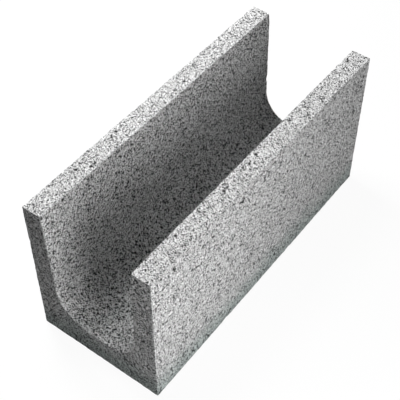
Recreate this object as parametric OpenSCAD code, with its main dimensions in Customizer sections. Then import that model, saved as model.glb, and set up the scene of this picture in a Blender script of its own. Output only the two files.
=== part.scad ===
// U-shaped concrete channel block, lying on its flat bottom with the channel open upwards.
// The channel runs along Y, the width lies along X, and the origin is the middle of the bottom.
// It is one casting. A mould box shapes its sides and ends, a flat board its bottom, and
// a rounded shoe pressed in from above its channel and wall tops.

/* [Block] */
// Length along the channel
block_length = 494; // [300:1:600]
// Width across both walls
block_width = 200; // [180:1:260]
// Height from the bottom to the wall tops
block_height = 244; // [190:1:300]
// Radius of the four upright corners, left by the mould box
corner_radius = 2; // [0.5:0.5:8]

/* [Channel] */
// Thickness of each wall at its top
wall_top = 30; // [20:0.5:36]
// Lean of each inner wall face away from upright, in degrees, so that the shoe lifts out
wall_draft = 1.5; // [0:0.1:3]
// Thickness of the floor under the channel
floor_thickness = 45.5; // [30:0.5:80]
// Radius that blends each wall into the floor
fillet_radius = 50; // [15:1:50]

/* [Hidden] */
concrete = [0.66, 0.66, 0.65];
$fn = 96;

// How far the channel's cut runs past the ends and the wall tops
overrun = 10;

// Half the channel's width at the wall tops, and at its floor if its walls ran straight down
mouth_half = block_width / 2 - wall_top;
foot_half = mouth_half - (block_height - floor_thickness) * tan(wall_draft);

// Each fillet is an arc tangent to the floor and to a leaning wall, no wider than half the channel
fillet_reach = tan(45 - wall_draft / 2);
fillet = min(fillet_radius, foot_half / fillet_reach);
fillet_x = foot_half - fillet * fillet_reach;
fillet_z = floor_thickness + fillet;

// The channel's space, seen along the block: its floor, fillets and leaning walls, open at the top
module channel_profile() {
    wall_start = [fillet_x + fillet * cos(wall_draft), fillet_z - fillet * sin(wall_draft)];
    wall_end = [mouth_half + overrun * tan(wall_draft), block_height + overrun];
    mirror_x = [[-1, 0], [0, 1]];
    polygon([
        [-fillet_x, floor_thickness],
        [fillet_x, floor_thickness],
        wall_start,
        wall_end,
        mirror_x * wall_end,
        mirror_x * wall_start
    ]);
    for (side = [-1, 1])
        translate([side * fillet_x, fillet_z])
            circle(r = fillet);
}

// The mould box seen from above
module plan_profile() {
    corner_x = block_width / 2 - corner_radius;
    corner_y = block_length / 2 - corner_radius;
    square([2 * corner_x, block_length], center = true);
    square([block_width, 2 * corner_y], center = true);
    for (x = [-corner_x, corner_x], y = [-corner_y, corner_y])
        translate([x, y])
            circle(r = corner_radius);
}

// The whole block: what fills the mould box, less the channel that the shoe presses from end to end
module u_block() {
    color(concrete)
        difference() {
            linear_extrude(block_height)
                plan_profile();
            rotate([90, 0, 0])
                linear_extrude(block_length + 2 * overrun, center = true)
                    channel_profile();
        }
}

u_block();
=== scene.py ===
"""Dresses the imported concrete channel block: a worn, pitted skin, its concrete and a plain studio stage."""

import math

import bpy
import numpy as np
from bpy.props import FloatProperty, FloatVectorProperty, IntProperty, PointerProperty
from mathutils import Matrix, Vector


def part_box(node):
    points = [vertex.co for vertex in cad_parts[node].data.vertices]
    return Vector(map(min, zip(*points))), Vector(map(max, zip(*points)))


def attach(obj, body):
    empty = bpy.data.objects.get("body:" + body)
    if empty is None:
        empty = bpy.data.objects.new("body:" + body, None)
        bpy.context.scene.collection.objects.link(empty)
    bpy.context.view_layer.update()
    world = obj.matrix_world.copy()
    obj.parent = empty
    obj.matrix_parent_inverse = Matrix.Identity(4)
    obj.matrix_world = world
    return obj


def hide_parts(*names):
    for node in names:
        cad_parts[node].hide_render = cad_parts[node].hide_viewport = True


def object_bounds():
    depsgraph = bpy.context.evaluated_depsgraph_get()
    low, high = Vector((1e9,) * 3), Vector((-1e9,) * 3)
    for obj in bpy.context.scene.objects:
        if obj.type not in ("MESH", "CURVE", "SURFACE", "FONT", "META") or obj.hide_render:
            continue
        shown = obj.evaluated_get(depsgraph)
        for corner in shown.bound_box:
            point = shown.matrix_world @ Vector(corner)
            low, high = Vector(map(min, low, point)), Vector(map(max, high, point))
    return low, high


bl_info = {
    "name": "Concrete Channel Block",
    "version": (1, 0, 0),
    "blender": (4, 5, 0),
    "location": "View3D > Sidebar > Channel Block",
    "description": "Builds the skin, the concrete and the stage of a pressed concrete channel block",
    "category": "Add Mesh",
}

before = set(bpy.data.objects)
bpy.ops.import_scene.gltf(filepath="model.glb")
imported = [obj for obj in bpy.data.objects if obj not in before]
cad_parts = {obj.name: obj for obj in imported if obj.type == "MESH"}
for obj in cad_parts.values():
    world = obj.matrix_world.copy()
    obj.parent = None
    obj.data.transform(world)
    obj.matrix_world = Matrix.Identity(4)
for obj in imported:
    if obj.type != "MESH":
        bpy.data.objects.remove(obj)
BLOCK_NODE = "u_block"
CAD_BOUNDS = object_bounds()

# Names of the skin's flat map and of the values that its points hold: where pits take painted shade, how far
# arrises are worn, which also places a painted highlight, and how open the texture is, which also sets
# painted light
FLAT_MAP = "surface"
PIT, WEAR_AND_HIGHLIGHT, OPENNESS_AND_PAINTED_LIGHT = "pit", "wear", "open"

# How much further on each sheet's flat map starts than the last one's, in metres
SHEET_STEP = 0.7
# Places of the closer grid lines at an arris, as multiples of the first one's distance
ARRIS_LINES = np.array([0.0, 1.0, 2.7])
# Lengths of the random waves, in metres: two that crumble an arris, one that chips it, and three on the
# faces, of the size of a hand, a coin and sand
GRAIN_WAVE, CRUMB_WAVE, CHIP_WAVE = 0.0045, 0.011, 0.022
HAND_WAVE, COIN_WAVE, SANDY_WAVE = 0.11, 0.032, 0.0085
# In metres, the sharpest arris's radius, and how far a point has moved where wear starts and is full
SHARPEST_ARRIS = 0.0002
WEAR_SHOWS = (0.0001, 0.0008)
# Half of the range that a face's relief keeps to, in units of its unevenness
MOST_RELIEF = 2.5
# The first grid's pits draw from the seed plus this, and the faces and arrises from the seed plus 1 to 7
PIT_SEED = 20
# What a length or an area that may be 0 is raised to before anything is divided by it
TINY = 1e-12

# In metres, how far the floor runs each way, and from where to where its shadow fades to plain white
FLOOR_REACH = 12.0
FLOOR_FADE = (0.5, 2.5)
# Width of the camera's sensor, in millimetres
SENSOR = 36.0
WHITE = (1.0, 1.0, 1.0, 1.0)


class BlockSkinSettings(bpy.types.PropertyGroup):
    """Sizes of the block's skin: its grid, arrises, unevenness and pits, and how open its texture is."""

    grid_step: FloatProperty(
        name="Grid step",
        description="Distance between grid lines on the walls, the channel and the ends",
        default=0.0028,
        min=0.002,
        max=0.01,
        subtype="DISTANCE",
    )
    foot_step: FloatProperty(
        name="Foot step",
        description="Distance between grid lines round the block's foot, below the fillets",
        default=0.0038,
        min=0.002,
        max=0.01,
        subtype="DISTANCE",
    )
    arris_line: FloatProperty(
        name="Arris line",
        description="Distance of the first grid line from an arris",
        default=0.0008,
        min=0.0003,
        max=0.002,
        subtype="DISTANCE",
    )
    arris_radius: FloatProperty(
        name="Arris radius",
        description="Radius of a sound arris",
        default=0.0007,
        min=0.0002,
        max=0.004,
        subtype="DISTANCE",
    )
    crumble: FloatProperty(
        name="Crumble",
        description="How much the radius varies where grains have broken off an arris",
        default=0.0006,
        min=0.0,
        max=0.004,
        subtype="DISTANCE",
    )
    chip: FloatProperty(
        name="Chip",
        description="Radius that the largest chips add to an arris",
        default=0.0022,
        min=0.0,
        max=0.01,
        subtype="DISTANCE",
    )
    unevenness: FloatProperty(
        name="Unevenness",
        description="Depth of the faces' slow waves and of their sandy relief",
        default=0.0001,
        min=0.0,
        max=0.001,
        subtype="DISTANCE",
    )
    pit_radius: FloatProperty(
        name="Pit radius",
        description="Mean radius of the pits, where air was trapped against the mould",
        default=0.0016,
        min=0.0005,
        max=0.003,
        subtype="DISTANCE",
    )
    pit_spacing: FloatProperty(
        name="Pit spacing",
        description="Mean distance between pits",
        default=0.026,
        min=0.006,
        max=0.1,
        subtype="DISTANCE",
    )
    top_grain: FloatProperty(
        name="Top grain",
        description="Size of the wall tops' grains, packed in finer paste, as a share of the rest's",
        default=0.75,
        min=0.3,
        max=1.0,
        subtype="FACTOR",
    )
    # Besides the pores, these four set how much painted light lifts each kind of face and how far its fine
    # grains stand out as painted relief shading
    side_open: FloatProperty(
        name="Side openness",
        description="How open the texture of the sides and the bottom is, from 0, closed by paste, to 1",
        default=0.12,
        min=0.0,
        max=1.0,
        subtype="FACTOR",
    )
    top_open: FloatProperty(
        name="Top openness",
        description="How open the texture of the wall tops is",
        default=0.5,
        min=0.0,
        max=1.0,
        subtype="FACTOR",
    )
    channel_open: FloatProperty(
        name="Channel openness",
        description="How open the texture of the channel is, where the shoe is drawn out",
        default=0.7,
        min=0.0,
        max=1.0,
        subtype="FACTOR",
    )
    end_open: FloatProperty(
        name="End openness",
        description="How open the texture of the ends is",
        default=1.0,
        min=0.0,
        max=1.0,
        subtype="FACTOR",
    )
    seed: IntProperty(
        name="Seed",
        description="Start of the random draws",
        default=11,
        min=0,
    )


class ConcreteSettings(bpy.types.PropertyGroup):
    """Colours and grain of the pressed concrete."""

    paste: FloatVectorProperty(
        name="Paste",
        description="Colour of the cement paste and the fine sand in it",
        default=(0.59, 0.59, 0.59),
        min=0.0,
        max=1.0,
        subtype="COLOR",
    )
    pale_sand: FloatVectorProperty(
        name="Pale sand",
        description="Colour of the palest sand grains",
        default=(0.78, 0.78, 0.78),
        min=0.0,
        max=1.0,
        subtype="COLOR",
    )
    dark_sand: FloatVectorProperty(
        name="Dark sand",
        description="Colour of the darkest sand grains",
        default=(0.10, 0.10, 0.10),
        min=0.0,
        max=1.0,
        subtype="COLOR",
    )
    # Painted shade: inside pores and pits this colour stands in for the shade there
    hollow: FloatVectorProperty(
        name="Hollow",
        description="Colour inside pores and pits, where dust collects and little light gets in",
        default=(0.01, 0.01, 0.01),
        min=0.0,
        max=1.0,
        subtype="COLOR",
    )
    tinted: FloatVectorProperty(
        name="Damp",
        description="What the damp foot's colour is multiplied by",
        default=(0.64, 0.71, 0.69),
        min=0.0,
        max=1.0,
        subtype="COLOR",
    )
    grain_size: FloatProperty(
        name="Grain size",
        description="Width of a coarse sand grain",
        default=0.0018,
        min=0.0005,
        max=0.01,
        subtype="DISTANCE",
    )
    pore_spacing: FloatProperty(
        name="Pore spacing",
        description="Distance between neighbouring pores between the grains",
        default=0.0026,
        min=0.001,
        max=0.02,
        subtype="DISTANCE",
    )
    pore_radius: FloatProperty(
        name="Pore radius",
        description="Radius of the widest pores between the grains",
        default=0.00118,
        min=0.0,
        max=0.01,
        subtype="DISTANCE",
    )
    void_spacing: FloatProperty(
        name="Void spacing",
        description="Distance between neighbouring voids, where a grain is missing",
        default=0.008,
        min=0.002,
        max=0.05,
        subtype="DISTANCE",
    )
    void_radius: FloatProperty(
        name="Void radius",
        description="Radius of the widest voids",
        default=0.0017,
        min=0.0,
        max=0.02,
        subtype="DISTANCE",
    )
    relief: FloatProperty(
        name="Relief",
        description="Depth of the relief between sand grains, which the light picks out",
        default=0.0006,
        min=0.0,
        max=0.01,
        subtype="DISTANCE",
    )


class StageSettings(bpy.types.PropertyGroup):
    """Camera, lamps and floor."""

    azimuth: FloatProperty(
        name="Azimuth",
        description="Camera's bearing, from the near end towards the right side",
        default=math.radians(36.71),
        subtype="ANGLE",
    )
    elevation: FloatProperty(
        name="Elevation",
        description="Camera's height above the horizon",
        default=math.radians(48.54),
        subtype="ANGLE",
    )
    distance: FloatProperty(
        name="Distance",
        description="Distance from the camera to the plane through the block's centre",
        default=1.3198,
        min=0.5,
        subtype="DISTANCE",
    )
    lens: FloatProperty(
        name="Lens",
        description="Focal length on a 36 mm sensor",
        default=84.54,
        min=10.0,
        subtype="DISTANCE_CAMERA",
    )
    right_shift: FloatProperty(
        name="Right shift",
        description="How far the camera stands to the right of the block's centre",
        default=-0.0119,
        subtype="DISTANCE",
    )
    up_shift: FloatProperty(
        name="Up shift",
        description="How far the camera stands above the block's centre, square to its view",
        default=-0.01482,
        subtype="DISTANCE",
    )
    floor_bounce: FloatProperty(
        name="Floor bounce",
        description="Share of light that the floor throws back on the block",
        default=0.2,
        min=0.0,
        max=1.0,
        subtype="FACTOR",
    )
    floor_white: FloatProperty(
        name="Floor white",
        description="How much of the floor's look is plain white, which leaves the rest for the shadow",
        default=0.94,
        min=0.0,
        max=1.0,
        subtype="FACTOR",
    )


# Each lamp's place and diameter in metres, and how brightly it lights a face at the block's centre that
# looks straight at it: at 1 the face renders in about its own colour
LAMPS = {
    "key": ((-1.10, 0.30, 0.95), 0.60, 1.20),
    "overhead": ((-0.40, 0.10, 1.46), 0.40, 0.47),
    "side": ((0.60, -0.35, 0.25), 0.40, 0.61),
    "side_high": ((1.00, -0.14, 0.76), 0.40, 0.21),
}


class Section:
    """The block's section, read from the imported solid's corners, in metres.

    The corners that lie off the bottom and off the outer sides are the channel's. The lowest give its
    floor, the highest its mouth, and the highest below the wall tops the wall's foot, where the fillet
    ends. The fillet's radius is that of the arc from the level floor's edge, where it starts level,
    through the wall's foot.
    """

    def __init__(self, node):
        low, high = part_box(node)
        count = len(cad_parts[node].data.vertices)
        corners = np.empty(count * 3, dtype=np.float32)
        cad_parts[node].data.vertices.foreach_get("co", corners)
        x, _, z = corners.astype(float).reshape(-1, 3).T
        # How close to a plane counts as on it, and how far in the upright corners' rounding may reach
        near, corner = 1e-5, 0.005
        self.half_width = high[0]
        self.half_length = high[1]
        self.height = high[2]
        inside = (x > 0) & (x < self.half_width - corner) & (z > near)
        self.mouth = x[inside & (z > self.height - near)].min()
        hollow = inside & (z < self.height - near)
        self.floor = z[hollow].min()
        self.fillet_x = x[hollow & (z < self.floor + near)].max()
        self.wall_foot_z = z[hollow].max()
        self.wall_foot_x = x[hollow & (z > self.wall_foot_z - near)].max()
        run, rise = self.wall_foot_x - self.fillet_x, self.wall_foot_z - self.floor
        self.fillet = (run * run + rise * rise) / (2 * rise)
        self.fillet_z = self.floor + self.fillet
        self.draft = math.atan2(self.mouth - self.wall_foot_x, self.height - self.wall_foot_z)


def spaced(length, step, start_line=None, end_line=None):
    """Distances from 0 to length, about step apart, with two closer lines at an end that is an arris."""
    start = np.zeros(1) if start_line is None else start_line * ARRIS_LINES
    end = np.zeros(1) if end_line is None else end_line * ARRIS_LINES
    plain = length - start[-1] - end[-1]
    count = max(2, round(plain / step))
    middle = start[-1] + plain * np.linspace(0.0, 1.0, count + 1)
    return np.concatenate([start[:-1], middle, (length - end[:-1])[::-1]])


def section_lines(cut, grid_step, foot_step, line):
    """The section's channel line and outside line, point for point, from the right lip to the left one.

    Down a wall both lines are straight. Round the fillet the channel's line is an arc about the fillet's
    centre, while the outside line goes down to the bottom corner and in along the bottom, and both cover
    the same share of their lengths. Under the floor both are straight and level. The left half mirrors
    the right one.
    """
    wall = spaced(cut.height - cut.wall_foot_z, grid_step, start_line=line)
    share = wall / wall[-1]
    wall_in = np.stack([cut.mouth + (cut.wall_foot_x - cut.mouth) * share, cut.height - wall], axis=1)
    wall_out = np.stack([np.full_like(wall, cut.half_width), cut.height - wall], axis=1)

    drop = spaced(cut.wall_foot_z, foot_step, end_line=line)
    run = spaced(cut.half_width - cut.fillet_x, foot_step, start_line=line)
    drop_out = np.stack([np.full_like(drop, cut.half_width), cut.wall_foot_z - drop], axis=1)
    run_out = np.stack([cut.half_width - run, np.zeros_like(run)], axis=1)
    walked = np.concatenate([drop, drop[-1] + run[1:]])
    angle = -cut.draft - (math.pi / 2 - cut.draft) * walked / walked[-1]
    centre = np.array([cut.fillet_x, cut.fillet_z])
    fillet_in = centre + cut.fillet * np.stack([np.cos(angle), np.sin(angle)], axis=1)
    fillet_out = np.concatenate([drop_out, run_out[1:]])

    level = cut.fillet_x - spaced(cut.fillet_x, grid_step)
    level_in = np.stack([level, np.full_like(level, cut.floor)], axis=1)
    level_out = np.stack([level, np.zeros_like(level)], axis=1)

    right_in = np.concatenate([wall_in, fillet_in[1:], level_in[1:]])
    right_out = np.concatenate([wall_out, fillet_out[1:], level_out[1:]])
    mirror = np.array([-1.0, 1.0])
    channel = np.concatenate([right_in, right_in[-2::-1] * mirror])
    outside = np.concatenate([right_out, right_out[-2::-1] * mirror])
    return channel, outside


def bent_box(cut, settings):
    """Points and grids of a box bent into the block's U.

    Its first parameter follows the section from lip to lip, its second crosses from the channel to the
    outside along a straight line, and its third runs along the block. The lines next to an arris keep
    their distance from it, and the rest share out the thickness between them. Only the six outer sheets
    have points, which neighbouring sheets share, so the skin is closed. The four lengthwise grids are the
    channel, the outside and the two wall tops, and their second index runs along the block. Each grid is
    ordered so that its quads face outwards.
    """
    line = settings.arris_line
    channel, outside = section_lines(cut, settings.grid_step, settings.foot_step, line)
    thickness = np.linalg.norm(outside - channel, axis=1)
    wall_across = spaced(thickness.min(), settings.grid_step, start_line=line, end_line=line)
    near = line * ARRIS_LINES[-1]
    wall, full = wall_across[-1], thickness[:, None]
    across = near + (wall_across - near) * (full - 2 * near) / (wall - 2 * near)
    across = np.where(wall_across <= near, wall_across, across)
    across = np.where(wall_across >= wall - near, full - (wall - wall_across), across)
    share = across / full
    sheet = channel[:, None, :] + (outside - channel)[:, None, :] * share[:, :, None]
    along = spaced(2 * cut.half_length, settings.grid_step, start_line=line, end_line=line)
    along -= cut.half_length

    shape = (len(channel), len(wall_across), len(along))
    skin = np.ones(shape, dtype=bool)
    skin[1:-1, 1:-1, 1:-1] = False
    names = np.full(shape, -1, dtype=np.int32)
    names[skin] = np.arange(skin.sum())
    round_u, across_v, along_w = np.nonzero(skin)
    flat = sheet[round_u, across_v]
    points = np.stack([flat[:, 0], along[along_w], flat[:, 1]], axis=1)
    lengthwise = [names[::-1, 0, :], names[:, -1, :], names[0, :, :], names[-1, ::-1, :]]
    ends = [names[:, :, 0], names[:, ::-1, -1]]
    return points, lengthwise, ends


def corners(grid):
    """What the grid holds at the four corners of every quad, going on along the grid's first index."""
    around = [grid[:-1, :-1], grid[1:, :-1], grid[1:, 1:], grid[:-1, 1:]]
    return np.stack(around, axis=2).reshape(-1, 4, *grid.shape[2:])


def surface_map(points, lengthwise, ends, top_grain):
    """Flat coordinates of every quad's corners, in metres, so that grains keep their size on every face.

    On a sheet that runs along the block they are the distance walked round its section and the place
    along the block, both drawn out on the wall tops, whose grains are finer. On an end they are the
    places across and up. Each sheet's map starts a step further on than the last one's, so that no two
    sheets show the same grains.
    """
    maps = []
    for grid, grain in zip(lengthwise, (1.0, 1.0, top_grain, top_grain)):
        place = points[grid]
        steps = np.linalg.norm(np.diff(place[:, 0, ::2], axis=0), axis=1)
        walked = np.concatenate([[0.0], np.cumsum(steps)])
        walked = np.broadcast_to(walked[:, None], grid.shape)
        maps.append(np.stack([walked, place[..., 1]], axis=2) / grain)
    maps += [points[grid][..., ::2] for grid in ends]
    return np.concatenate([corners(flat + SHEET_STEP * number) for number, flat in enumerate(maps)])


def normals_of(points, quads):
    """Outward unit normals at the points: the crossed diagonals of the quads round each one, added up."""
    a, b, c, d = (points[quads[:, k]] for k in range(4))
    crossed = np.cross(c - a, d - b)
    total = np.zeros_like(points)
    for k in range(4):
        np.add.at(total, quads[:, k], crossed)
    return total / np.maximum(np.linalg.norm(total, axis=1, keepdims=True), TINY)


def waves(points, wavelength, seed, count=28):
    """A smooth random field of about unit strength.

    It is the sum of plane waves of about one length with random directions and phases, divided by the
    root of half their number.
    """
    shortest, longest = 0.7, 1.4
    draw = np.random.default_rng(seed)
    way = draw.normal(size=(count, 3))
    way /= np.linalg.norm(way, axis=1, keepdims=True)
    rate = 2 * math.pi / (wavelength * draw.uniform(shortest, longest, count))
    phase = draw.uniform(0.0, 2 * math.pi, count)
    return np.cos(points @ (way * rate[:, None]).T + phase).sum(axis=1) * math.sqrt(2 / count)


def smooth_step(value, low, high):
    """0 below low, 1 above high, and between them three times the way's square less twice its cube."""
    t = np.clip((value - low) / (high - low), 0.0, 1.0)
    return t * t * (3.0 - 2.0 * t)


def depths(cut, points):
    """How deep each point lies under each of the five kinds of face, and the way into the concrete there.

    The faces are the wall tops, the bottom, the outer sides, the ends and the channel. Under the channel
    the depth is measured square to the leaning wall above the fillet, from the fillet's centre beside it,
    and straight down under the floor.
    """
    x, y, z = points.T
    zero, one = np.zeros_like(x), np.ones_like(x)
    side_x, side_y = np.where(x < 0, -1.0, 1.0), np.where(y < 0, -1.0, 1.0)
    p, q = np.abs(x) - cut.fillet_x, z - cut.fillet_z
    lean = np.array([math.cos(cut.draft), -math.sin(cut.draft)])
    by_wall = p * -lean[1] + q * lean[0] > 0
    by_floor = ~by_wall & (p < 0)
    reach = np.maximum(np.hypot(p, q), TINY)
    into_x = np.where(by_wall, lean[0], np.where(by_floor, 0.0, p / reach))
    into_z = np.where(by_wall, lean[1], np.where(by_floor, -1.0, q / reach))
    channel_depth = p * into_x + q * into_z - cut.fillet
    depth = np.stack([
        cut.height - z,
        z,
        cut.half_width - np.abs(x),
        cut.half_length - np.abs(y),
        channel_depth,
    ])
    inward = np.stack([
        np.stack([zero, zero, -one], axis=1),
        np.stack([zero, zero, one], axis=1),
        np.stack([-side_x, zero, zero], axis=1),
        np.stack([zero, -side_y, zero], axis=1),
        np.stack([side_x * into_x, zero, into_z], axis=1),
    ])
    return np.maximum(depth, 0.0), inward


def face_openness_and_painted_light(cut, points, settings):
    """How open the texture is at each point, and so how much painted light lifts its colour, as on the kind
    of face that it lies least deep under.
    """
    depth, _ = depths(cut, points)
    side = settings.side_open
    by_face = np.array([settings.top_open, side, side, settings.end_open, settings.channel_open])
    return by_face[depth.argmin(axis=0)]


def wear_arrises(cut, points, settings):
    """The points with every arris rounded, and how far each one moved.

    A ball of the local radius rolls along the inside of each arris: a point less than that radius deep
    under two or more faces moves straight towards the ball's centre until it lies on the ball. The local
    radius is that of a sound arris, plus crumble times the mean of two waves, plus chip where a third
    wave is high.
    """
    least_crumb, most_crumb = -0.7, 1.8
    chip_starts, chip_full = 1.55, 2.6
    crumbs = waves(points, GRAIN_WAVE, settings.seed + 1)
    crumbs = (crumbs + waves(points, CRUMB_WAVE, settings.seed + 2)) / 2
    crumbs = np.clip(crumbs, least_crumb, most_crumb)
    chips = smooth_step(waves(points, CHIP_WAVE, settings.seed + 3), chip_starts, chip_full)
    radius = settings.arris_radius + settings.crumble * crumbs + settings.chip * chips
    radius = np.maximum(radius, SHARPEST_ARRIS)
    depth, inward = depths(cut, points)
    short = np.maximum(radius - depth, 0.0)
    reach = np.maximum(np.linalg.norm(short, axis=0), TINY)
    outside_ball = reach > radius
    drawn_in = np.where(outside_ball, short * (1.0 - radius / reach), 0.0)
    move = (drawn_in[:, :, None] * inward).sum(axis=0)
    return points + move, np.linalg.norm(move, axis=1)


def roughen(points, normals, settings):
    """The points moved inwards by an uneven face's relief, counted from its highest place.

    The relief is slow waves, hand-sized and coin-sized, sandy waves and a random height at each point,
    added up and kept within limits.
    """
    coin_share, sandy_share, grain_share = 0.7, 0.5, 0.55
    hand = waves(points, HAND_WAVE, settings.seed + 4)
    coin = coin_share * waves(points, COIN_WAVE, settings.seed + 5)
    sandy = sandy_share * waves(points, SANDY_WAVE, settings.seed + 6)
    grain = grain_share * np.random.default_rng(settings.seed + 7).uniform(-1.0, 1.0, len(points))
    relief = settings.unevenness * np.clip(hand + coin + sandy + grain, -MOST_RELIEF, MOST_RELIEF)
    return points - normals * (relief - relief.min())[:, None]


def sink_pits(points, normals, grid, settings, seed):
    """Sinks pits in one grid, and returns how much painted shade goes inside them, point by point.

    The grid is cut into blocks of four by four nodes, and a pit may stand about the middle of each, so no
    pit meets another, and the nodes next to an arris stay where they are. The eight nodes round the
    middle one are drawn in to a circle of the pit's radius, a little out of true, and sunk slightly, and
    the middle one is sunk to the bottom.
    """
    margin, width, widest, rim_shade = 3, 4, 0.85, 0.2
    # What each draw lies between: two factors of the radius, how far from round, and the depth in radii,
    # the place in grid steps, and at the rim its reach in radii and its share of the depth
    shrink, spread, oval, depth = (0.75, 1.0), (0.8, 1.5), (0.8, 1.25), (0.9, 1.5)
    astray, rim_reach, rim_sink = (-0.3, 0.3), (0.8, 1.1), (0.0, 0.12)

    rows, columns = ((size - 2 * margin) // width for size in grid.shape)
    row, column = (margin + width * place.ravel() + 1 for place in np.mgrid[0:rows, 0:columns])
    draw = np.random.default_rng(seed)
    row = row + draw.integers(0, 2, row.size)
    column = column + draw.integers(0, 2, column.size)
    first = (points[grid[row + 1, column]] - points[grid[row - 1, column]]) / 2
    second = (points[grid[row, column + 1]] - points[grid[row, column - 1]]) / 2
    first_gap = np.linalg.norm(first, axis=1)
    second_gap = np.linalg.norm(second, axis=1)
    chance = first_gap * second_gap * width * width / settings.pit_spacing ** 2
    chosen = draw.uniform(size=row.size) < chance
    row, column, first, second = row[chosen], column[chosen], first[chosen], second[chosen]
    first_gap, second_gap = first_gap[chosen, None], second_gap[chosen, None]

    def vary(limits):
        return draw.uniform(*limits, (row.size, 1))

    radius = settings.pit_radius * vary(shrink) * vary(spread)
    across = first / first_gap * np.minimum(radius * vary(oval), widest * first_gap)
    along = second / second_gap * np.minimum(radius * vary(oval), widest * second_gap)
    sink = normals[grid[row, column]] * radius * vary(depth)
    centre = points[grid[row, column]] + first * vary(astray) + second * vary(astray)
    pit_shade = np.zeros(len(points))
    for i, j in np.ndindex(3, 3):
        node = grid[row + i - 1, column + j - 1]
        if (i, j) == (1, 1):
            points[node] = centre - sink
            pit_shade[node] = 1.0
        else:
            turn = math.atan2(j - 1, i - 1)
            rim = across * math.cos(turn) + along * math.sin(turn)
            points[node] = centre + rim * vary(rim_reach) - sink * vary(rim_sink)
            pit_shade[node] = rim_shade
    return pit_shade


def mesh_of(name, points, quads, flat, marks):
    """A smooth-shaded mesh of the points and quads, with its flat map and its points' marks."""
    mesh = bpy.data.meshes.new(name)
    mesh.vertices.add(len(points))
    mesh.vertices.foreach_set("co", points.astype(np.float32).ravel())
    mesh.loops.add(quads.size)
    mesh.loops.foreach_set("vertex_index", quads.astype(np.int32).ravel())
    mesh.polygons.add(len(quads))
    mesh.polygons.foreach_set("loop_start", np.arange(0, quads.size, 4, dtype=np.int32))
    mesh.update(calc_edges=True)
    mesh.shade_smooth()
    mesh.uv_layers.new(name=FLAT_MAP).uv.foreach_set("vector", flat.astype(np.float32).ravel())
    for mark, values in marks.items():
        mesh.attributes.new(mark, "FLOAT", "POINT").data.foreach_set("value", values.astype(np.float32))
    mesh.validate()
    return mesh


class Nodes:
    """A short way to lay out a material's nodes."""

    def __init__(self, tree):
        self.tree = tree

    def add(self, kind, inputs=(), **settings):
        """A new node with its settings, whose inputs are linked from sockets or set to values."""
        node = self.tree.nodes.new(kind)
        for key, value in settings.items():
            setattr(node, key, value)
        for key, value in dict(inputs).items():
            if isinstance(value, bpy.types.NodeSocket):
                self.tree.links.new(value, node.inputs[key])
            else:
                node.inputs[key].default_value = value
        return node

    def math(self, kind, a, b=0.0, c=0.0):
        """One step of arithmetic."""
        return self.add("ShaderNodeMath", {0: a, 1: b, 2: c}, operation=kind).outputs[0]

    def vector_math(self, kind, a, b):
        """One step of arithmetic with vectors, or with a vector and the number that scales it."""
        second = "Scale" if kind == "SCALE" else 1
        return self.add("ShaderNodeVectorMath", {0: a, second: b}, operation=kind).outputs[0]

    def mark(self, name):
        """The value that the mesh's points hold under a name."""
        return self.add("ShaderNodeAttribute", attribute_name=name).outputs["Fac"]

    def part(self, colour, number):
        """The red, green or blue part of a colour."""
        return self.add("ShaderNodeSeparateColor", {"Color": colour}).outputs[number]

    def ramp(self, value, low, high, start=0.0, end=1.0):
        """value carried from low..high to start..end along an S-curve."""
        inputs = {"Value": value, "From Min": low, "From Max": high, "To Min": start, "To Max": end}
        return self.add("ShaderNodeMapRange", inputs, interpolation_type="SMOOTHSTEP").outputs["Result"]

    def blend(self, value, stops):
        """The colour at value, from 0 to 1, between the colours of the stops on both sides of it."""
        node = self.add("ShaderNodeValToRGB", {0: value})
        ramp = node.color_ramp
        while len(ramp.elements) < len(stops):
            ramp.elements.new(1.0)
        for element, (position, colour) in zip(ramp.elements, stops):
            element.position = position
            element.color = (*colour, 1.0)
        return node.outputs["Color"]

    def mix(self, share, a, b, blend="MIX"):
        """Colour a, changed by the share towards colour b, or towards what blend makes of the two.

        Among the node's sockets the share is 0, the colours 6 and 7, and the mixed colour comes out of 2.
        """
        inputs = {0: share, 6: a, 7: b}
        return self.add("ShaderNodeMix", inputs, data_type="RGBA", blend_type=blend).outputs[2]

    def noise(self, vector, size, detail=2.0, roughness=0.5):
        """Smooth noise whose lumps are about that size, from 0 to 1."""
        inputs = {"Vector": vector, "Scale": 1.0 / size, "Detail": detail, "Roughness": roughness}
        return self.add("ShaderNodeTexNoise", inputs).outputs["Fac"]

    def cells(self, vector, size, randomness=1.0):
        """Flat cells about that size across, each with a middle and a colour of its own."""
        inputs = {"Vector": vector, "Scale": 1.0 / size, "Randomness": randomness}
        return self.add("ShaderNodeTexVoronoi", inputs, voronoi_dimensions="2D").outputs


def grain_map(make, place):
    """The skin's flat map for grains and pores.

    It is turned askew and bent over a few grains, so that pores stand in no rows, and bent again at grain
    size, so that they aren't round. Each bend is smooth noise about 0 of a lump size, times a reach.
    """
    askew, middle = 0.6, (0.5, 0.5, 0.5)
    bends = ((0.012, 0.004), (0.0025, 0.0004))
    flat = make.add("ShaderNodeUVMap", uv_map=FLAT_MAP).outputs["UV"]
    inputs = {"Vector": flat, "Angle": askew}
    flat = make.add("ShaderNodeVectorRotate", inputs, rotation_type="Z_AXIS").outputs[0]
    for lump, reach in bends:
        inputs = {"Vector": place, "Scale": 1 / lump, "Detail": 1.0}
        bend = make.add("ShaderNodeTexNoise", inputs).outputs["Color"]
        bend = make.vector_math("SUBTRACT", bend, middle)
        flat = make.vector_math("ADD", flat, make.vector_math("SCALE", bend, reach))
    return flat


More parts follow.
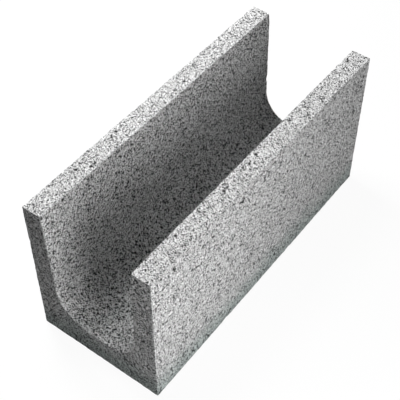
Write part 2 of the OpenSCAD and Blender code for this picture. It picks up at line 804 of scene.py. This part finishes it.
def sand_colour(make, settings, place, coarse, fine, openness_and_painted_light):
    """Paste and sand: the coarse grains' tones on both sides of the paste's, times what shades them.

    They are shaded by the fine grains' tones, by painted shade in the crevices between coarse grains and by
    clouds of a hand's size. The more open a face, the more its fine grains stand out, as painted relief
    shading, and the paler it is, as painted light, most on the ends and in the channel. No grain is paler
    than a limit.
    """
    darker, paler = ([share * part for part in settings.paste] for share in (0.72, 1.18))
    fine_tones, crevice_shade_tones, cloud_tones = (0.52, 1.44), (1.02, 0.95), (0.94, 1.04)
    crevice_starts, crevice_full = 0.45, 0.95
    cloud_size, cloud_from, cloud_to = 0.06, 0.25, 0.75
    painted_relief_contrast, painted_light_lift = 0.45, 0.34
    palest = (0.85, 0.85, 0.85, 1.0)

    # Each stop is a place on the scale from 0 to 1 that grains are drawn from, and the tone there
    colour = make.blend(make.part(coarse["Color"], 0), (
        (0.03, settings.dark_sand),
        (0.06, darker),
        (0.50, settings.paste),
        (0.94, paler),
        (0.98, settings.pale_sand),
    ))
    speckle = make.ramp(make.part(fine["Color"], 1), 0.0, 1.0, *fine_tones)
    # Painted relief shading: the more open the face, the more its fine grains stand out
    speckle = make.math("POWER", speckle, make.math("MULTIPLY_ADD", openness_and_painted_light, painted_relief_contrast, 1.0))
    # Painted shade in the crevices between coarse grains
    crevice_shade = make.ramp(coarse["Distance"], crevice_starts, crevice_full, *crevice_shade_tones)
    cloud = make.noise(place, cloud_size, detail=4.0, roughness=0.6)
    cloud = make.ramp(cloud, cloud_from, cloud_to, *cloud_tones)
    shade = make.math("MULTIPLY", make.math("MULTIPLY", speckle, crevice_shade), cloud)
    # Painted light: the more open the face, the paler its colour
    shade = make.math("MULTIPLY", shade, make.math("MULTIPLY_ADD", openness_and_painted_light, painted_light_lift, 1.0))
    shaded = make.mix(1.0, colour, shade, blend="MULTIPLY")
    return make.mix(1.0, shaded, palest, blend="DARKEN")


def hollows(make, place, spacing, widest, least, lean):
    """How far each place lies inside the nearest round hollow's rim, in spacings, and below 0 outside.

    Every cell has one hollow at its middle. Its draw, from 0 to 1, plus a share of how lean the mix is
    there sets its radius: an eighth of the widest where the sum is no more than least, and more above it,
    along an S-curve up to the widest.
    """
    disorder, lean_share, rise, smallest = 0.9, 0.3, 0.78, widest / 8
    cell = make.cells(place, spacing, randomness=disorder)
    wanted = make.math("MULTIPLY_ADD", lean, lean_share, make.part(cell["Color"], 0))
    radius = make.ramp(wanted, least, least + rise, smallest / spacing, widest / spacing)
    return make.math("SUBTRACT", radius, cell["Distance"])


def pores_and_pits(make, settings, place, flat, openness_and_painted_light):
    """How far each place lies inside a pore, and what is 1 inside any pore, void or pit and 0 outside.

    There are more pores and voids where the mix was lean or the face is open. The rims of the skin's own
    pits are made ragged by noise.
    """
    lean_patch, open_share = 0.03, 0.6
    least_pore, least_void = 0.36, 0.35
    pore_rim, void_rim, pit_rim = (0.0, 0.05), (0.0, 0.02), (0.30, 0.40)
    ragged_size, raggedness = 0.002, 0.3

    lean = make.math("MULTIPLY_ADD", openness_and_painted_light, open_share, make.noise(place, lean_patch))
    pore = hollows(make, flat, settings.pore_spacing, settings.pore_radius, least_pore, lean)
    void = hollows(make, flat, settings.void_spacing, settings.void_radius, least_void, lean)
    pit = make.math("MULTIPLY_ADD", make.noise(place, ragged_size), raggedness, make.mark(PIT))
    hole = make.math("MAXIMUM", make.ramp(pore, *pore_rim), make.ramp(void, *void_rim))
    hole = make.math("MAXIMUM", hole, make.ramp(pit, *pit_rim))
    return pore, hole


def darker_foot(make, place):
    """1 at the bottom, where the foot is darker and greener, fading to 0 a few fingers' width up, at a ragged
    height.

    The height of each place is divided by that of the foot's edge, which is noise times a range plus a least
    height.
    """
    patch, edge_range, least_edge = 0.03, 0.060, 0.010
    clear_from, full_to = 1.5, 0.1
    height = make.add("ShaderNodeSeparateXYZ", {"Vector": place}).outputs["Z"]
    edge = make.math("MULTIPLY_ADD", make.noise(place, patch, detail=4.0), edge_range, least_edge)
    return make.ramp(make.math("DIVIDE", height, edge), clear_from, full_to)


def fine_relief(make, settings, place, coarse, fine, hole):
    """The normal of relief too fine for the skin's grid: domed grains on small lumps, and sunk pores.

    Each height is a share of the relief's depth.
    """
    lump_size, lump_height = 0.003, 1.6
    coarse_dome, fine_dome, sunk = -0.35, -0.08, -0.6
    fine_domes = make.math("MULTIPLY", fine["Distance"], fine_dome)
    domes = make.math("MULTIPLY_ADD", coarse["Distance"], coarse_dome, fine_domes)
    stand = make.math("MULTIPLY_ADD", make.noise(place, lump_size, detail=1.0), lump_height, domes)
    level = make.math("MULTIPLY_ADD", hole, sunk, stand)
    inputs = {"Height": level, "Strength": 1.0, "Distance": settings.relief}
    return make.add("ShaderNodeBump", inputs).outputs["Normal"]


def concrete_material(settings):
    """Pressed concrete: paste and sand of many tones, open pores and pits with painted shade in them, painted
    light on the open faces and a darker, greener foot.
    """
    fine_share = 0.65
    rim_starts, rim_full, rim_paleness = -0.20, -0.02, 0.60
    hole_shade, worn_and_highlight_paleness = 0.98, 0.12
    dullest, smoothest, foot_smoother = 0.97, 0.86, -0.12

    material = bpy.data.materials.new("concrete")
    material.use_nodes = True
    tree = material.node_tree
    make = Nodes(tree)
    shader = tree.nodes["Principled BSDF"]
    shader.inputs["Specular IOR Level"].default_value = 0.25
    pale = (*settings.pale_sand, 1.0)
    place = make.add("ShaderNodeTexCoord").outputs["Object"]
    openness_and_painted_light = make.mark(OPENNESS_AND_PAINTED_LIGHT)
    flat = grain_map(make, place)
    coarse = make.cells(flat, settings.grain_size)
    fine = make.cells(flat, settings.grain_size * fine_share)
    pore, hole = pores_and_pits(make, settings, place, flat, openness_and_painted_light)
    foot_share = darker_foot(make, place)

    # Sand and paste, with pale rims round the pores, painted shade in the holes, a darker, greener foot, and
    # arrises a little paler, partly where the grains have been rubbed and partly as a painted highlight
    colour = sand_colour(make, settings, place, coarse, fine, openness_and_painted_light)
    colour = make.mix(make.ramp(pore, rim_starts, rim_full, 0.0, rim_paleness), colour, pale)
    # Painted shade in the pores, voids and pits
    colour = make.mix(make.math("MULTIPLY", hole, hole_shade), colour, (*settings.hollow, 1.0))
    colour = make.mix(foot_share, colour, (*settings.tinted, 1.0), blend="MULTIPLY")
    # Arrises a little paler, partly rubbed grains and partly a painted highlight
    colour = make.mix(make.math("MULTIPLY", make.mark(WEAR_AND_HIGHLIGHT), worn_and_highlight_paleness), colour, pale)
    tree.links.new(colour, shader.inputs["Base Color"])

    # The foot and some grains are a little smoother than the rest
    grain_roughness = make.ramp(make.part(coarse["Color"], 0), 0.0, 1.0, dullest, smoothest)
    tree.links.new(make.math("MULTIPLY_ADD", foot_share, foot_smoother, grain_roughness), shader.inputs["Roughness"])
    normal = fine_relief(make, settings, place, coarse, fine, hole)
    tree.links.new(normal, shader.inputs["Normal"])
    return material


class MESH_OT_channel_block_skin(bpy.types.Operator):
    """Build the block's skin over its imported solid, with worn arrises, uneven faces and pits"""

    bl_idname = "mesh.channel_block_skin"
    bl_label = "Block Skin"
    bl_options = {"REGISTER", "UNDO"}

    def execute(self, context):
        settings = context.scene.block_skin
        cut = Section(BLOCK_NODE)
        points, lengthwise, ends = bent_box(cut, settings)
        grids = lengthwise + ends
        quads = np.concatenate([corners(grid) for grid in grids])
        flat = surface_map(points, lengthwise, ends, settings.top_grain)
        # How open each point's face is, which also sets its painted light and painted relief shading
        texture = face_openness_and_painted_light(cut, points, settings)
        points, moved = wear_arrises(cut, points, settings)
        normals = normals_of(points, quads)
        points = roughen(points, normals, settings)
        normals = normals_of(points, quads)
        # Each grid's pits mark where painted shade goes inside them
        pit = np.zeros(len(points))
        for number, grid in enumerate(grids):
            seed = settings.seed + PIT_SEED + number
            pit = np.maximum(pit, sink_pits(points, normals, grid, settings, seed))
        low, high = CAD_BOUNDS
        points = np.clip(points, low, high)
        marks = {PIT: pit, WEAR_AND_HIGHLIGHT: smooth_step(moved, *WEAR_SHOWS), OPENNESS_AND_PAINTED_LIGHT: texture}
        mesh = mesh_of("block_skin", points, quads, flat, marks)
        skin = bpy.data.objects.new("block_skin", mesh)
        context.scene.collection.objects.link(skin)
        mesh.materials.append(concrete_material(context.scene.block_concrete))
        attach(skin, "root")
        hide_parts(BLOCK_NODE)
        return {"FINISHED"}


def direction(bearing, elevation):
    """The unit vector at a bearing and an elevation, both in radians.

    Bearing 0 is towards the near end, and a quarter of a turn on is towards the right side.
    """
    level = math.cos(elevation)
    return Vector((math.sin(bearing) * level, -math.cos(bearing) * level, math.sin(elevation)))


def seen_directly(make):
    """1 for what the camera sees, straight, mirrored or through glass, and 0 for light on its way."""
    path = make.add("ShaderNodeLightPath").outputs
    seen = make.math("MAXIMUM", path["Is Camera Ray"], path["Is Glossy Ray"])
    return make.math("MAXIMUM", seen, path["Is Transmission Ray"])


def floor_material(settings):
    """A dull floor to the light, and to the eye a white one that keeps a faint shadow near the block.

    The eye sees plain white light over a pale floor, in a share that rises to 1 away from the block.
    """
    material = bpy.data.materials.new("floor")
    material.use_nodes = True
    tree = material.node_tree
    make = Nodes(tree)
    shader = tree.nodes["Principled BSDF"]
    shader.inputs["Roughness"].default_value = 1.0
    shader.inputs["Specular IOR Level"].default_value = 0.0
    seen = seen_directly(make)
    dull = (settings.floor_bounce, settings.floor_bounce, settings.floor_bounce, 1.0)
    pale = (0.9, 0.9, 0.9, 1.0)
    tree.links.new(make.mix(seen, dull, pale), shader.inputs["Base Color"])
    white = make.add("ShaderNodeEmission", {"Color": WHITE, "Strength": 1.0})
    place = make.add("ShaderNodeTexCoord").outputs["Object"]
    away = make.add("ShaderNodeVectorMath", {0: place}, operation="LENGTH").outputs["Value"]
    share = make.math("MULTIPLY", seen, make.ramp(away, *FLOOR_FADE, settings.floor_white, 1.0))
    look = make.add("ShaderNodeMixShader", {0: share, 1: shader.outputs[0], 2: white.outputs[0]})
    tree.links.new(look.outputs[0], tree.nodes["Material Output"].inputs["Surface"])
    return material


class SCENE_OT_channel_block_stage(bpy.types.Operator):
    """Set up the camera, the soft lamps, the plain pale floor and the white surroundings"""

    bl_idname = "scene.channel_block_stage"
    bl_label = "Stage"
    bl_options = {"REGISTER", "UNDO"}

    def execute(self, context):
        scene = context.scene
        settings = scene.block_stage
        low, high = (Vector(corner) for corner in CAD_BOUNDS)
        centre = (low + high) / 2

        camera = bpy.data.objects.new("camera", bpy.data.cameras.new("camera"))
        back = direction(settings.azimuth, settings.elevation)
        turn = (-back).to_track_quat("-Z", "Y")
        shift = turn @ Vector((settings.right_shift, settings.up_shift, 0.0))
        camera.location = centre + back * settings.distance + shift
        camera.rotation_mode = "QUATERNION"
        camera.rotation_quaternion = turn
        camera.data.sensor_width = SENSOR
        camera.data.lens = settings.lens
        scene.collection.objects.link(camera)
        scene.camera = camera

        for name, (place, diameter, level) in LAMPS.items():
            away = Vector(place) - centre
            light = bpy.data.lights.new(name, "AREA")
            light.shape = "DISK"
            light.size = diameter
            # Head on to a flat lamp, a face shows its colour times watts / (pi distance) squared
            light.energy = level * (math.pi * away.length) ** 2
            lamp = bpy.data.objects.new(name, light)
            lamp.location = place
            lamp.rotation_mode = "QUATERNION"
            lamp.rotation_quaternion = away.to_track_quat("Z", "Y")
            lamp.visible_camera = False
            scene.collection.objects.link(lamp)

        world = bpy.data.worlds.new("surroundings")
        world.use_nodes = True
        make = Nodes(world.node_tree)
        background = world.node_tree.nodes["Background"]
        background.inputs["Color"].default_value = WHITE
        world.node_tree.links.new(seen_directly(make), background.inputs["Strength"])
        scene.world = world

        ground = bpy.data.meshes.new("floor")
        signs = ((-1, -1), (1, -1), (1, 1), (-1, 1))
        edge = [(x * FLOOR_REACH, y * FLOOR_REACH, low.z) for x, y in signs]
        ground.from_pydata(edge, [], [(0, 1, 2, 3)])
        ground.materials.append(floor_material(settings))
        floor = bpy.data.objects.new("floor", ground)
        scene.collection.objects.link(floor)
        scene.view_settings.view_transform = "Standard"
        return {"FINISHED"}


class VIEW3D_PT_channel_block(bpy.types.Panel):
    """Lists the block's and the stage's settings and steps"""

    bl_label = "Concrete Channel Block"
    bl_idname = "VIEW3D_PT_channel_block"
    bl_space_type = "VIEW_3D"
    bl_region_type = "UI"
    bl_category = "Channel Block"

    def draw(self, context):
        scene = context.scene
        for settings, step in STEPS:
            box = self.layout.box()
            for group in settings:
                for name in getattr(scene, group).__annotations__:
                    box.prop(getattr(scene, group), name)
            box.operator(step)


STEPS = (
    (("block_skin", "block_concrete"), "mesh.channel_block_skin"),
    (("block_stage",), "scene.channel_block_stage"),
)
GROUPS = {
    "block_skin": BlockSkinSettings,
    "block_concrete": ConcreteSettings,
    "block_stage": StageSettings,
}
CLASSES = (
    *GROUPS.values(),
    MESH_OT_channel_block_skin,
    SCENE_OT_channel_block_stage,
    VIEW3D_PT_channel_block,
)


def register():
    """Registers the classes and gives the scene their settings."""
    for kind in CLASSES:
        bpy.utils.register_class(kind)
    for name, group in GROUPS.items():
        setattr(bpy.types.Scene, name, PointerProperty(type=group))


def unregister():
    """Takes the settings and the classes away again."""
    for name in GROUPS:
        delattr(bpy.types.Scene, name)
    for kind in reversed(CLASSES):
        bpy.utils.unregister_class(kind)


def main():
    """Builds the block and its stage."""
    register()
    bpy.ops.mesh.channel_block_skin()
    bpy.ops.scene.channel_block_stage()


if __name__ == "__main__":
    main()
